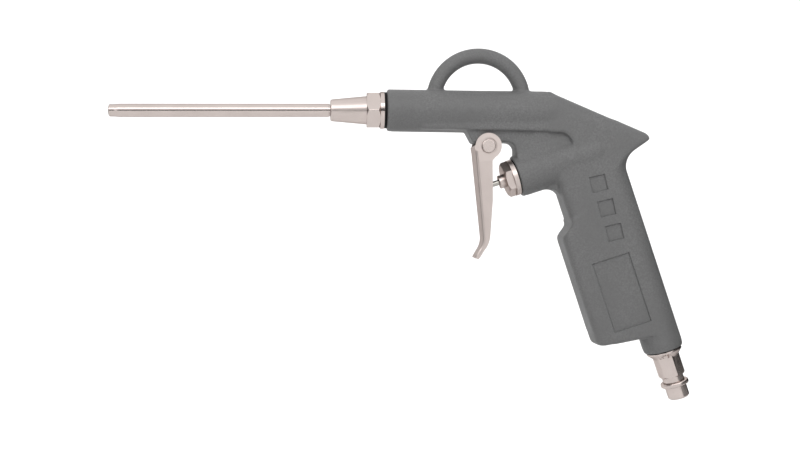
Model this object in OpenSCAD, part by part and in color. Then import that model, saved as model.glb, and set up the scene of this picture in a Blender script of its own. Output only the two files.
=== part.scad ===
// Compressed-air duster with a long straight nozzle, a hang loop and a trigger valve.
// Millimetres. The origin is the centre of the nozzle's outlet. +X runs back along the
// nozzle and the barrel, +Z is up, and the pistol grip hangs down behind the trigger.

/* [Nozzle tube] */
// Outside diameter of the tube
tube_d = 6; // [5:0.1:7]
// Bore of the tube
tube_bore_d = 4; // [3:0.1:4.6]
// Length of tube in front of the adapter
tube_reach = 99.5; // [30:0.5:300]
// Length of tube held inside the adapter
tube_seat_len = 12; // [8:0.5:18]
// Depth by which the tube is turned down where it is pressed into the adapter
tube_step_t = 0.25; // [0.15:0.05:0.4]
// Length of that step in front of the adapter
tube_relief_len = 0.5; // [0.3:0.1:1]
// Outside diameter of the crimped tip
tip_d = 5.6; // [5:0.1:5.8]
// Length of the crimped tip
tip_len = 2.6; // [2:0.1:5]
// Length of the taper behind the crimped tip
tip_taper_len = 2; // [1:0.1:4]
// Diameter of the outlet hole
outlet_d = 3; // [1:0.1:3.6]
// Chamfer at the tip's rim
tip_chamfer = 0.3; // [0.1:0.05:0.5]

/* [Nozzle adapter] */
// Diameter of the cone at its front
cone_front_d = 9.7; // [8.6:0.1:11]
// Diameter of the cone at the hexagon
cone_rear_d = 12.7; // [11:0.1:14]
// Length of the cone
cone_len = 16.3; // [12:0.1:24]
// Radius of the cone's front edge
cone_edge_r = 0.9; // [0.2:0.1:1]
// Depth of the countersink round the tube
countersink = 0.6; // [0.2:0.1:0.8]
// Width of the hexagon across its flats
adapter_hex_af = 15.4; // [14:0.1:17]
// Length of the hexagon
adapter_hex_len = 6.1; // [4:0.1:10]
// Turn of the hexagon about the nozzle's axis, in degrees
adapter_hex_turn = 5.5; // [-30:0.5:30]
// Diameter of the round collar behind the hexagon
collar_d = 16.6; // [15:0.1:18]
// Thickness of the collar
collar_t = 1.8; // [1:0.1:3]
// Outside diameter of the thread that screws into the barrel
spigot_d = 12; // [11:0.1:13]
// Length of that thread
spigot_len = 10; // [8:0.5:14]
// Outside diameter of the rubber ring against the barrel
nozzle_ring_d = 16.2; // [14:0.1:17]
// Thickness of that ring
nozzle_ring_t = 1.2; // [0.8:0.1:2]

/* [Barrel and loop] */
// Outside diameter of the barrel
barrel_d = 18.8; // [17.5:0.1:21]
// Radius of the barrel's front edge
barrel_edge_r = 1; // [0.3:0.1:1.6]
// Fall of the barrel's outside towards the grip, in degrees
barrel_fall = 0.9; // [0:0.1:1.5]
// Bore of the barrel behind the thread
barrel_bore_d = 7; // [5:0.1:8]
// From the barrel's face back to the loop's centre
loop_x = 41.15; // [38:0.1:46]
// Height of the loop's centre above the nozzle's axis
loop_z = 4.5; // [2:0.1:7]
// Radius of the loop to the middle of its bar
loop_mean_r = 19.9; // [17:0.1:24]
// Diameter of the loop's round bar
loop_d = 6.9; // [5:0.1:8]

/* [Grip casting] */
// From the barrel's face back to where the top starts to slope
ridge_x = 71.4; // [70:0.1:78]
// Radius where the top starts to slope
ridge_r = 4; // [1:0.5:8]
// From the barrel's face back to the tail's corner
tail_x = 118.6; // [114:0.1:124]
// Height of the tail's corner, below the nozzle's axis
tail_z = -12.2; // [-14:0.1:-10]
// Radius of the tail's tip
tail_tip_r = 2.6; // [1:0.1:3]
// Slope of the tail's underside, in degrees
tail_under = 36; // [30:1:42]
// Radius of the rounded edges along the tail's top
tail_edge_r = 5; // [1:0.1:6]
// From the valve's axis down to the waist's lower end
waist_down = 14.2; // [13.8:0.1:16]
// Radius of the waist under the tail
waist_r = 9; // [4:0.5:10]
// Lean of the grip from upright, in degrees
grip_tilt = 18.1; // [15:0.1:21]
// Radius of the grip's round back
grip_r = 8.7; // [8.6:0.1:9.2]
// From the barrel's face back to the valve housing's mouth
valve_x = 58.3; // [57:0.1:61]
// Height of the valve housing's mouth, below the nozzle's axis
valve_z = -29.85; // [-32:0.05:-28]
// Outside diameter of the valve housing
housing_d = 18.7; // [18:0.1:20]
// Length of the housing, up to its rounded end beside the grip
housing_len = 40.5; // [39:0.1:43]
// Radius of that rounded end
housing_end_r = 4; // [2:0.1:6]
// Radius of the housing's front edge
housing_edge_r = 0.6; // [0.2:0.1:1]
// From the housing's mouth, along the valve, to the middle of the grip's round back
inlet_depth = 38.9; // [37:0.1:42]
// From the valve's axis down the grip to the inlet socket's end
grip_len = 94.6; // [88:0.1:120]
// Depth of the grip's front behind the housing's mouth, above the finger step
upper_front = 15.8; // [14:0.1:18]
// Depth of the grip's front behind the housing's mouth, below the finger step
lower_front = 9.9; // [8:0.1:12]
// From the valve's axis down to the top of the finger step
step_down = 28; // [24:0.1:32]
// Height of the finger step's slope
step_rise = 4.2; // [3:0.1:7]
// Radius at both ends of the finger step
step_r = 2.8; // [1:0.1:3]
// From the inlet socket's end up to the bottom of the grip's front
foot_up = 11.6; // [10:0.1:16]
// Slope of the grip's foot, in degrees
foot_slope = 6.9; // [0:0.5:10]
// Radius of the rounded edges along the grip's front
grip_edge_r = 3.5; // [1:0.1:5]
// Radius of the fillet between the valve housing and the grip's front
web_fillet_r = 6; // [2:0.1:7]
// Thickness of that fillet's web
web_fillet_t = 8; // [4:0.5:10]
// Radius of the grip's front bottom corner
foot_r = 1.4; // [1:0.1:5]
// Radius of the inlet socket's end edge
socket_edge_r = 1.7; // [0.5:0.1:1.8]
// Side of each square recess in the grip
square_side = 7.1; // [5:0.1:8]
// Distance between the squares
square_pitch = 11.35; // [9:0.05:12]
// From the valve's axis down to the first square
square_down = 14.05; // [12:0.05:18]
// Depth of the squares' row behind the housing's mouth
square_deep = 32.05; // [28:0.05:33]
// Turn of the squares against the grip, in degrees
square_turn = 5; // [-10:1:10]
// Number of squares
square_count = 3; // [1:1:3]
// Height of the bare panel recess
panel_h = 32; // [20:0.5:34]
// Width of the panel recess
panel_w = 17.1; // [10:0.1:20]
// From the inlet socket's end up to the panel's middle
panel_up = 31.6; // [30:0.1:36]
// Depth of the panel's middle behind the housing's mouth
panel_deep = 26.8; // [24:0.1:28]
// Depth of the recesses into the grip's side
recess_t = 0.5; // [0.3:0.1:0.8]

/* [Web and lug] */
// Thickness of the lug that carries the trigger
lug_t = 10.6; // [9:0.1:11]
// Thickness of the web behind the lug
web_t = 12; // [11:0.1:14]
// From the barrel's face back to the lug's front
lug_x = 35.3; // [33:0.1:36]
// From the barrel's face back to the lug's toe
toe_x = 38.2; // [36.6:0.1:38.4]
// Height of the lug's toe
toe_z = -14.9; // [-15.2:0.1:-14]
// Radius of the lug round the trigger pin
lug_r = 4.4; // [4:0.1:4.5]
// Height of the lug's underside behind the trigger
lug_under_z = -14.5; // [-16:0.1:-13]
// From the barrel's face back to the web's notch
notch_x = 57.3; // [55:0.1:58]
// Radius of the notch's corner
notch_r = 3.6; // [2:0.1:4]
// From the barrel's face back to where the web thickens, at the barrel's underside
web_step_x = 68.3; // [66:0.1:72]
// From the barrel's face back to the end of the recess beside the web
web_end_x = 82; // [80:0.1:84]
// Radius of that recess's upper corner
web_end_r = 6; // [3:0.1:7]

/* [Trigger] */
// From the barrel's face back to the trigger's pin
pivot_x = 44.9; // [44:0.1:46]
// Height of the trigger's pin
pivot_z = -16.55; // [-18:0.05:-16]
// Lean of the trigger at rest, in degrees
lever_lean = 5.4; // [4:0.1:8]
// From the pin to the trigger's front face
lever_front = 6.2; // [6:0.05:7]
// Thickness of the trigger's sheet
lever_t = 1.4; // [1:0.1:1.6]
// Width of the trigger at its ears
lever_top_w = 13.8; // [13.6:0.1:16]
// Width of the trigger at its tip
lever_tip_w = 10; // [8:0.1:13]
// Radius of the trigger's ears
ear_r = 5.8; // [5.2:0.1:6.2]
// Height of the front plate above the pin
front_rise = 0.8; // [0:0.1:1]
// From the pin down to where the ears end
ear_down = 6.6; // [6:0.1:8]
// Depth of the side plates under the ears
side_top_depth = 7.3; // [6:0.1:8]
// From the pin down to the middle of the side plates
side_mid_down = 24; // [20:0.5:32]
// Depth of the side plates there
side_mid_depth = 5.9; // [4:0.1:6.6]
// From the pin down to where the tip curls forward
curl_down = 39.6; // [36:0.1:46]
// Depth of the side plates where the curl starts
side_curl_depth = 3.4; // [2.4:0.1:4]
// Depth of the side plates at the tip
side_tip_depth = 2.2; // [1.9:0.1:3]
// Radius of the curl on its front
curl_r = 9; // [6:0.5:20]
// Sweep of the curl, in degrees
curl_sweep = 36; // [20:1:50]
// Length of the straight tip behind the curl
curl_tip_len = 4.6; // [2:0.1:8]
// Radius of the tip's corners
tip_corner_r = 2.5; // [1:0.1:4]
// Diameter of the pin
pin_d = 4; // [3:0.1:4.4]
// Diameter of the pin's heads
pin_head_d = 6.1; // [5.4:0.1:6.4]
// Thickness of the pin's heads
pin_head_t = 0.9; // [0.6:0.1:1.1]
// Diameter of the sunk seat round each head
head_seat_d = 7.3; // [6.8:0.1:8]
// Depth of that seat
head_seat_t = 0.6; // [0.4:0.1:0.8]
// Swing of the trigger from rest to fully pulled, in degrees
lever_swing = 10; // [6:1:10]

/* [Valve cap and gland] */
// Thickness of the ring under the cap's flange
cap_ring_t = 0.5; // [0.3:0.1:1]
// Diameter of that ring
cap_ring_d = 15.8; // [15:0.1:18]
// Diameter of the cap's flange
cap_flange_d = 16.4; // [16.2:0.1:18]
// Thickness of the cap's flange
cap_flange_t = 2; // [1:0.1:2.5]
// Width of the cap's hexagon across its flats
cap_hex_af = 14; // [13:0.1:14.4]
// Thickness of the cap's hexagon
cap_hex_t = 3.2; // [2.5:0.1:3.6]
// Turn of the cap's hexagon, in degrees
cap_hex_turn = 5; // [-30:1:30]
// Outside diameter of the cap's thread
cap_thread_d = 14; // [13.4:0.1:14.6]
// Length of the cap's thread
cap_thread_len = 8; // [6:0.5:8.5]
// Outside diameter of the cap's skirt
skirt_d = 11.8; // [11:0.1:12]
// Length of the skirt behind the thread
skirt_len = 13; // [12:0.5:15]
// Bore of the skirt round the stem
skirt_bore_d = 6.6; // [6:0.1:7]
// Depth of the waist that lets air round the skirt
skirt_waist_t = 1.3; // [0.6:0.1:1.4]
// Diameter of the four cross holes in that waist
cross_hole_d = 3; // [2:0.1:3.4]
// Number of cross holes
cross_hole_count = 4; // [2:1:6]
// Diameter of the stem guide in front of the cap
guide_d = 6; // [5:0.1:6.4]
// Length of the stem guide in front of the cap
guide_reach = 2.5; // [1:0.1:3]
// Length of the stem guide inside the cap
guide_seat_len = 2.6; // [2:0.1:3]
// Thickness of the backing washer behind the guide
backing_t = 0.5; // [0.4:0.1:0.8]
// Room for the ring seal behind the washer
gland_room = 2; // [1.8:0.1:2.2]
// Outside diameter of the valve seat
seat_d = 8; // [7.6:0.1:8.4]
// Opening of the valve seat
seat_bore_d = 5.4; // [5:0.1:6]
// Length of the seat inside the skirt
seat_sunk_t = 1.8; // [1.2:0.1:2]
// Height of the seat above the skirt
seat_lip_t = 0.6; // [0.3:0.1:1]

/* [Stem and poppet] */
// Diameter of the stem
stem_d = 2.5; // [2:0.1:3]
// Diameter of the stem's collar in front of the seal
stem_collar_d = 4; // [3.4:0.1:4.6]
// Thickness of that collar
stem_collar_t = 1.2; // [0.8:0.1:2]
// Diameter of the rubber seal
seal_d = 9.6; // [8.6:0.1:10.4]
// Thickness of the rubber seal
seal_t = 2; // [1.2:0.1:2.6]
// Thickness of the washer behind the seal
washer_t = 1; // [0.6:0.1:1.4]
// Diameter of the washer's boss that centres the spring
washer_boss_d = 5.4; // [5:0.1:5.8]
// Height of that boss
washer_boss_t = 1.2; // [0.6:0.1:2]
// Thickness of the clip behind the washer
clip_t = 0.6; // [0.4:0.1:0.8]
// Diameter of the clip
clip_d = 5; // [4:0.1:5.2]
// Depth of the clip's groove in the stem
clip_groove_t = 0.35; // [0.2:0.05:0.5]
// Length of stem behind the clip
stem_end_len = 1; // [0.6:0.1:2]
// Diameter of the spring's wire
wire_d = 0.9; // [0.6:0.1:1]
// Radius of the spring to the middle of its wire
spring_r = 3.5; // [3.3:0.1:4]
// Number of the spring's coils
coil_count = 7; // [4:1:8]
// Thickness of the washer that the spring stands on
spring_foot_t = 0.8; // [0.5:0.1:1.2]

/* [Air passages] */
// Bore of the valve chamber
chamber_d = 12; // [12:0.1:12.6]
// Depth of the valve chamber behind the housing's mouth
chamber_depth = 43; // [42:0.1:44]
// Diameter of the passage from the valve up to the barrel
link_d = 4.6; // [3:0.1:5]
// Diameter of the passage up the grip
feed_d = 8; // [6:0.1:9]

/* [Inlet plug] */
// Outside diameter of the plug's thread
plug_thread_d = 13.2; // [12:0.1:13.4]
// Length of the plug's thread
plug_thread_len = 10; // [8:0.5:12]
// Diameter of the plug's flange
plug_flange_d = 15.4; // [14:0.1:17.2]
// Thickness of the flange's rim
plug_flange_t = 0.7; // [0.4:0.1:1.5]
// Height of the flange's slope
plug_slope_t = 2; // [1:0.1:3]
// Width of the plug's hexagon across its flats
plug_hex_af = 10.1; // [10:0.1:12]
// Length of the plug's hexagon
plug_hex_len = 9.4; // [6:0.1:14]
// Turn of the plug's hexagon about its axis, in degrees
plug_hex_turn = 21; // [0:1:60]
// Diameter of the plug's neck and nose
nose_d = 9.4; // [8.8:0.1:9.8]
// Length of the neck
neck_len = 2.5; // [2:0.1:6]
// Diameter of the locking collar
lock_d = 12.3; // [11.4:0.1:13]
// Thickness of the locking collar
lock_t = 2; // [1.2:0.1:3]
// Length of the nose
nose_len = 5.8; // [3:0.1:12]
// Chamfer of the nose
nose_chamfer = 0.7; // [0.3:0.1:1.2]
// Bore of the plug
plug_bore_d = 5.4; // [4:0.1:6]
// Thickness of the plug's ring seal
plug_seal_t = 1.6; // [1.2:0.1:1.8]

/* [Fits] */
// Radial clearance of threads, drawn as plain cylinders
thread_fit = 0.05; // [0.02:0.01:0.1]
// Radial clearance of what turns or slides
running_fit = 0.04; // [0.02:0.01:0.08]
// Radial clearance of what is pressed in or seated
seated_fit = 0.02; // [0.01:0.01:0.04]
// Clearance at faces that turn or slide past each other
side_gap = 0.2; // [0.1:0.05:0.3]
// Gap left between the stem and the trigger, and between the seal and its seat
touch_gap = 0.08; // [0.05:0.01:0.12]

/* [Hidden] */
// Cuts run past their faces by this much
overrun = 1;
// The housing's thread runs past the cap's by this much
thread_relief_t = 0.5;
// A surface of the casting lies this far inside the one that it runs into
cast_lap = 0.1;
// Segments in each rounded corner of an outline
arc_steps = 6;
// Facets that count as a circle
$fn = 64;
// A chamfered hexagon's corners are cut back at this angle
hex_chamfer_angle = 40;
// How far below its across-corners circle a hexagon's chamfer starts
hex_chamfer_share = 0.88;
// The barrel's rounded front edge lies on an envelope that opens at this rate behind it
barrel_flare_share = 0.04;
// A cast block's front starts this far behind the ridge, as a share of the ridge's radius
block_lead_share = 0.15;
// The barrel's end runs into the block behind the ridge by this share of the ridge's radius
barrel_end_share = 0.5;
// The seal ring's round section fills this share of its room
seal_fill_share = 0.85;
// The clip's gap is this share of its diameter
clip_gap_share = 0.36;
// The skirt's air waist is centred at this share of its length and takes up this share of it
waist_place_share = 0.42;
waist_share = 0.46;
// The ring seal's groove takes up this share of the skirt, and starts half its width behind the waist
groove_share = 0.14;
// The lug's toe is rounded by this share of the lug's radius
toe_share = 0.2;
// The side plates run into the ears this far out, as a share of the ears' radius, at this angle
ear_root_share = 0.97;
ear_root_angle = 45;
// The locking collar's edges are rounded by this share of its thickness
lock_edge_share = 0.33;
// Facets of a hexagon
hex_sides = 6;
// Rings in each of the spring's coils, and sides of its wire
coil_rings = 8;
wire_sides = 6;

face_x = tube_reach + cone_len + adapter_hex_len + collar_t + nozzle_ring_t;
barrel_r = barrel_d / 2;
tube_seat_r = tube_d / 2 - tube_step_t;
rear_depth = inlet_depth + grip_r;
foot_down = grip_len - foot_up;
panel_down = grip_len - panel_up;
seat_face = cap_thread_len + skirt_len + seat_lip_t;
gland_front = cap_ring_t + cap_flange_t + cap_hex_t;
gland_floor = gland_front - guide_seat_len - backing_t - gland_room;
washer_face = seat_face + touch_gap + seal_t + washer_t;
clip_face = washer_face + washer_boss_t;
stem_end = clip_face + clip_t + stem_end_len;
spring_start = washer_face + touch_gap;
spring_end = chamber_depth - spring_foot_t;
waist_mid = cap_thread_len + skirt_len * waist_place_share;
waist_t = skirt_len * waist_share;
groove_t = skirt_len * groove_share;
groove_at = waist_mid + (waist_t + groove_t) / 2;
lever_inner = lever_front - lever_t;
plate_gap = (lever_top_w - lug_t) / 2 - lever_t;

// Height of the barrel's axis at a distance behind its face
function barrel_axis_z(x) = -x * tan(barrel_fall);
// A point of the grip's side view, down the grip and deep behind the housing's mouth
function grip_point(down, deep) =
    [valve_x + down * sin(grip_tilt) + deep * cos(grip_tilt),
     valve_z - down * cos(grip_tilt) + deep * sin(grip_tilt)];
function unit(v) = v / norm(v);
// The points of one corner, rounded to radius r, between its two neighbours
function corner(before, at, after, r) =
    r == 0 ? [at] :
    let (u = unit(before - at), v = unit(after - at),
         half = acos(u * v) / 2,
         centre = at + unit(u + v) * r / sin(half),
         first = at + u * r / tan(half) - centre,
         last = at + v * r / tan(half) - centre,
         a1 = atan2(first.y, first.x),
         turn = atan2(last.y, last.x) - a1,
         sweep = turn > 180 ? turn - 360 : turn < -180 ? turn + 360 : turn)
    [for (i = [0 : arc_steps])
        centre + r * [cos(a1 + sweep * i / arc_steps), sin(a1 + sweep * i / arc_steps)]];
// An outline from corners written as [x, y, radius]
function rounded(c) = let (n = len(c))
    [for (i = [0 : n - 1])
        each corner([c[(i + n - 1) % n].x, c[(i + n - 1) % n].y], [c[i].x, c[i].y],
                    [c[(i + 1) % n].x, c[(i + 1) % n].y], c[i].z)];

// Where the tail's underside meets the line of the grip's back
tail_at = [tail_x, tail_z];
under_dir = [-cos(tail_under), -sin(tail_under)];
back_at = grip_point(0, rear_depth);
back_dir = [sin(grip_tilt), -cos(grip_tilt)];
under_len = ((back_at.x - tail_at.x) * back_dir.y - (back_at.y - tail_at.y) * back_dir.x)
            / (under_dir.x * back_dir.y - under_dir.y * back_dir.x);
waist_at = tail_at + under_len * under_dir;

ridge_at = [ridge_x, barrel_axis_z(ridge_x) + barrel_r];
roof_slope = atan2(ridge_at.y - tail_at.y, tail_at.x - ridge_at.x);

tip_out = tail_at + cast_lap * sin(tail_under) / sin(tail_under + roof_slope)
          * [cos(roof_slope), -sin(roof_slope)];
// The tail's tip, measured down the grip and out from the grip's axis
tail_down = (tail_at - [valve_x, valve_z]) * [sin(grip_tilt), -cos(grip_tilt)];
tail_from_axis = (tail_at - [valve_x, valve_z]) * [cos(grip_tilt), sin(grip_tilt)] - inlet_depth;

// The passage from the skirt's waist up to the barrel, square to the valve
link_foot = grip_point(0, waist_mid);
link_top_x = link_foot.x - (barrel_axis_z(notch_x) - link_foot.y) * tan(grip_tilt);
link_len = (barrel_axis_z(notch_x) - link_foot.y) / cos(grip_tilt);

// The stem's rounded tip rests on the trigger's inner face. The stem's line is known, and
// the tip's centre lies where that line is a tip radius behind the face.
pivot_to_valve = [valve_x - pivot_x, valve_z - pivot_z];
lever_u = [cos(lever_lean), sin(lever_lean)];
valve_dir = [cos(grip_tilt), sin(grip_tilt)];
tip_centre = (-lever_inner + stem_d / 2 + touch_gap - pivot_to_valve * lever_u)
             / (valve_dir * lever_u);
stem_tip = tip_centre - stem_d / 2;
contact_arm = -(pivot_to_valve + tip_centre * valve_dir) * [-sin(lever_lean), cos(lever_lean)];
// Travel of the stem that keeps the tip on the face when the trigger is fully pulled
stem_travel = ((-lever_inner + stem_d / 2) * (1 - cos(lever_swing))
               + contact_arm * sin(lever_swing))
              / cos(grip_tilt - lever_lean - lever_swing);
spring_rise = spring_end - spring_start - wire_d;
echo(face_x = face_x, pivot = [face_x + pivot_x, pivot_z], stem_travel = stem_travel,
     travel_per_radian = stem_travel / (lever_swing * PI / 180), contact_arm = contact_arm,
     valve_mouth = [face_x + valve_x, valve_z], stem_tip = stem_tip);
echo(inlet_end = grip_point(grip_len, inlet_depth) + [face_x, 0],
     plug_end = grip_point(grip_len + plug_reach(), inlet_depth) + [face_x, 0]);
echo(spring_gap = spring_rise / coil_count - wire_d);

function plug_reach() = plug_flange_t + plug_slope_t + plug_hex_len + neck_len + lock_t + nose_len;

// The frames that the pieces are drawn in
module at_face() translate([face_x, 0, 0]) children();
// Z runs into the grip along the valve, X down the grip
module at_valve() at_face() turned_to_valve() children();
module turned_to_valve() translate([valve_x, 0, valve_z]) rotate([0, 90 - grip_tilt, 0]) children();
// Z runs down the grip and out of the inlet, from the socket's end
module at_inlet() at_valve() translate([grip_len, 0, inlet_depth]) rotate([0, 90, 0]) children();
// Z runs up the trigger from its pin, X back from its front face
module at_pivot() at_face() translate([pivot_x, 0, pivot_z]) rotate([0, -lever_lean, 0]) children();
// A side view, x and z, given a thickness across
module side_slab(t) rotate([90, 0, 0]) linear_extrude(t, center = true) children();

module ring(outer_d, inner_d, t) {
    difference() {
        cylinder(d = outer_d, h = t);
        translate([0, 0, -overrun]) cylinder(d = inner_d, h = t + 2 * overrun);
    }
}

// A ring seal of round section that fills the room between two radii
module ring_seal(inner_r, outer_r) {
    section_r = (outer_r - inner_r) / 2 - seated_fit;
    rotate_extrude() translate([(outer_r + inner_r) / 2, 0]) circle(r = section_r, $fn = 32);
}

// A hexagonal bar whose corners are chamfered at the ends asked for
module hex_bar(af, h, low, high) {
    corner_r = af / 2 / cos(180 / hex_sides);
    start_r = corner_r * hex_chamfer_share;
    out_r = corner_r + overrun;
    cut = (out_r - start_r) * tan(hex_chamfer_angle);
    low_points = low ? [[0, 0], [start_r, 0], [out_r, cut]] : [[0, -overrun], [out_r, -overrun]];
    high_points = high ? [[out_r, h - cut], [start_r, h], [0, h]] : [[out_r, h + overrun], [0, h + overrun]];
    intersection() {
        cylinder(r = corner_r, h = h, $fn = hex_sides);
        rotate_extrude() polygon(concat(low_points, high_points));
    }
}

// The barrel is round, with a rounded front edge, and its end is cut by the sloping roof
module barrel() {
    reach = ridge_x + ridge_r * barrel_end_share;
    flare_r = barrel_r + reach * barrel_flare_share;
    roof_reach = barrel_r / tan(roof_slope);
    intersection() {
        rotate([0, 90 + barrel_fall, 0]) translate([0, 0, -overrun])
            cylinder(r = barrel_r, h = reach + overrun);
        rotate([0, 90, 0]) rotate_extrude() polygon([
            [0, 0],
            each corner([0, 0], [barrel_r, 0], [barrel_r, reach], barrel_edge_r),
            [flare_r, reach],
            [0, reach]]);
        side_slab(2 * flare_r) polygon([
            [-overrun, -2 * barrel_r],
            [reach, -2 * barrel_r],
            [reach, ridge_at.y - (reach - ridge_x) * tan(roof_slope) - cast_lap],
            [ridge_x - roof_reach, ridge_at.y + barrel_r - cast_lap],
            [-overrun, ridge_at.y + barrel_r]]);
    }
}

// The bar's ends run down to the middle of the barrel
module hang_loop() {
    dip = asin((loop_z - barrel_axis_z(loop_x)) / loop_mean_r);
    translate([loop_x, 0, loop_z]) rotate([90, 0, 0]) rotate([0, 0, -dip])
        rotate_extrude(angle = 180 + 2 * dip) translate([loop_mean_r, 0]) circle(d = loop_d);
}

// The block behind the barrel has flat sides, and its top edges are rounded along the roof.
// Its back and the tail's underside are turned about the grip's own axis.
module tail_block() {
    under_z = barrel_axis_z(ridge_x) - barrel_r;
    front_x = ridge_x + ridge_r * block_lead_share;
    low_back = grip_point(waist_down, rear_depth);
    low_front = grip_point(waist_down, upper_front + grip_edge_r);
    mouth_front = grip_point(0, upper_front + grip_edge_r);
    intersection() {
        side_slab(2 * grip_r) polygon(rounded([
            [front_x, ridge_at.y - (front_x - ridge_x) * tan(roof_slope), 0],
            [tip_out.x, tip_out.y, tail_tip_r],
            [waist_at.x + cast_lap, waist_at.y, waist_r],
            [low_back.x + cast_lap, low_back.y, 0],
            [low_front.x, low_front.y, 0],
            [mouth_front.x, mouth_front.y, 0],
            [web_end_x, mouth_front.y, 0],
            [web_end_x, under_z, web_end_r],
            [front_x, under_z, 0]]));
        translate([ridge_at.x, 0, ridge_at.y]) rotate([0, roof_slope, 0]) rotate([90, 0, 90])
            linear_extrude(2 * grip_len, center = true) polygon(rounded([
                [-grip_r, -grip_len, 0],
                [grip_r, -grip_len, 0],
                [grip_r, 0, tail_edge_r],
                [-grip_r, 0, tail_edge_r]]));
        turned_to_valve() {
            turned_back();
            translate([-grip_len, -2 * grip_r, -grip_len])
                cube([2 * grip_len, 4 * grip_r, grip_len + inlet_depth - grip_edge_r]);
        }
    }
}

// Round the grip's axis: the grip's own round, the hollow of the waist and the tail's underside
module turned_back() {
    waist_at_r = grip_r - cast_lap;
    out_r = tail_from_axis + overrun;
    fall = tan(tail_under - grip_tilt);
    translate([0, 0, inlet_depth]) rotate([0, 90, 0]) rotate_extrude() polygon(rounded([
        [0, -grip_len, 0],
        [out_r, -grip_len, 0],
        [out_r, tail_down - overrun * fall, 0],
        [waist_at_r, tail_down + (tail_from_axis - waist_at_r) * fall, waist_r],
        [waist_at_r, grip_len, 0],
        [0, grip_len, 0]]));
}

// A length of grip with its front edges rounded, from one place down the grip to another
module grip_bar(from, to, front) {
    translate([from, 0, 0]) rotate([0, 90, 0]) linear_extrude(to - from) polygon(rounded([
        [-inlet_depth, -grip_r, 0],
        [-front, -grip_r, grip_edge_r],
        [-front, grip_r, grip_edge_r],
        [-inlet_depth, grip_r, 0]]));
}

// Corners are written down the grip and deep behind the housing's mouth
module grip() {
    foot_back = foot_down + (inlet_depth - lower_front) * tan(foot_slope);
    step_top = step_down - step_r;
    housing_r = housing_d / 2;
    at_valve() {
        grip_bar(0, step_down + step_rise, upper_front);
        intersection() {
            grip_bar(step_top, foot_back, lower_front);
            side_slab(2 * grip_r) polygon(rounded([
                [step_top, upper_front, 0],
                [step_down, upper_front, step_r],
                [step_down + step_rise, lower_front, step_r],
                [foot_down, lower_front, foot_r],
                [foot_back, inlet_depth, 0],
                [step_top, inlet_depth, 0]]));
        }
        translate([0, 0, inlet_depth]) rotate([0, 90, 0]) rotate_extrude() polygon([
            [0, 0],
            [grip_r, 0],
            each corner([grip_r, 0], [grip_r, grip_len], [0, grip_len], socket_edge_r),
            [0, grip_len]]);
        side_slab(web_fillet_t) polygon([
            [0, upper_front - web_fillet_r],
            each corner([housing_r, 0], [housing_r, upper_front], [grip_len, upper_front], web_fillet_r),
            [housing_r + web_fillet_r, upper_front + web_fillet_r],
            [0, upper_front + web_fillet_r]]);
    }
}

module valve_housing() {
    housing_r = housing_d / 2;
    at_valve() rotate_extrude() polygon([
        each corner([0, 0], [housing_r, 0], [housing_r, housing_len], housing_edge_r),
        each corner([housing_r, 0], [housing_r, housing_len], [0, housing_len], housing_end_r),
        [0, housing_len],
        [0, 0]]);
}

// The lug and web hang from the barrel's middle and end inside the block
module web() {
    middle_z = barrel_axis_z(ridge_x);
    side_slab(lug_t) polygon(rounded([
        [lug_x, middle_z, 0],
        [lug_x, -barrel_r, 0],
        [toe_x, toe_z, lug_r * toe_share],
        [pivot_x, toe_z, 0],
        [pivot_x, lug_under_z, 0],
        [notch_x, lug_under_z, notch_r],
        [notch_x, valve_z + housing_d / 2, 0],
        [web_end_x, valve_z + housing_d, 0],
        [web_end_x, middle_z, 0]]));
    translate([pivot_x, 0, pivot_z]) side_slab(lug_t) circle(r = lug_r);
    web_fall = (valve_z + housing_d / 2 - middle_z) * tan(grip_tilt);
    side_slab(web_t) polygon([
        [web_step_x, middle_z],
        [web_step_x + web_fall, valve_z + housing_d / 2],
        [web_end_x, valve_z + housing_d],
        [web_end_x, middle_z]]);
}

module air_passages() {
    // Thread and bore of the barrel
    rotate([0, 90, 0]) translate([0, 0, -overrun]) {
        cylinder(r = spigot_d / 2 + thread_fit, h = spigot_len + 2 * overrun);
        cylinder(d = barrel_bore_d, h = link_top_x + link_d / 2 + overrun);
    }
}

module valve_passages() {
    // Thread, chamber, and the passage from the skirt's waist up to the barrel
    translate([0, 0, -overrun]) {
        cylinder(r = cap_thread_d / 2 + thread_fit, h = overrun + cap_thread_len + thread_relief_t);
        cylinder(d = chamber_d, h = chamber_depth + overrun);
    }
    translate([0, 0, waist_mid]) rotate([0, -90, 0]) cylinder(d = link_d, h = link_len);
    // The passage up the grip, and the inlet's thread with a countersink for the ring seal
    translate([0, 0, inlet_depth]) rotate([0, 90, 0]) {
        cylinder(d = feed_d, h = grip_len);
        translate([0, 0, grip_len - plug_thread_len - overrun])
            cylinder(r = plug_thread_d / 2 + thread_fit, h = plug_thread_len + 2 * overrun);
        translate([0, 0, grip_len - plug_seal_t])
            cylinder(d1 = plug_thread_d, d2 = plug_thread_d + 2 * plug_seal_t, h = plug_seal_t);
    }
}

module side_recesses() {
    for (side = [-1, 1]) translate([0, side * grip_r, 0]) {
        for (i = [0 : square_count - 1])
            translate([square_down + i * square_pitch, 0, square_deep]) rotate([0, square_turn, 0])
                cube([square_side, 2 * recess_t, square_side], center = true);
        translate([panel_down, 0, panel_deep]) cube([panel_h, 2 * recess_t, panel_w], center = true);
    }
}

module body_casting() {
    color([0.44, 0.44, 0.44]) difference() {
        union() {
            at_face() {
                barrel();
                hang_loop();
                tail_block();
                web();
            }
            valve_housing();
            grip();
        }
        at_face() air_passages();
        at_valve() {
            valve_passages();
            side_recesses();
        }
        at_face() translate([pivot_x, 0, pivot_z]) rotate([90, 0, 0])
            cylinder(r = pin_d / 2 + seated_fit, h = lug_t + 2 * overrun, center = true);
    }
}

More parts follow.
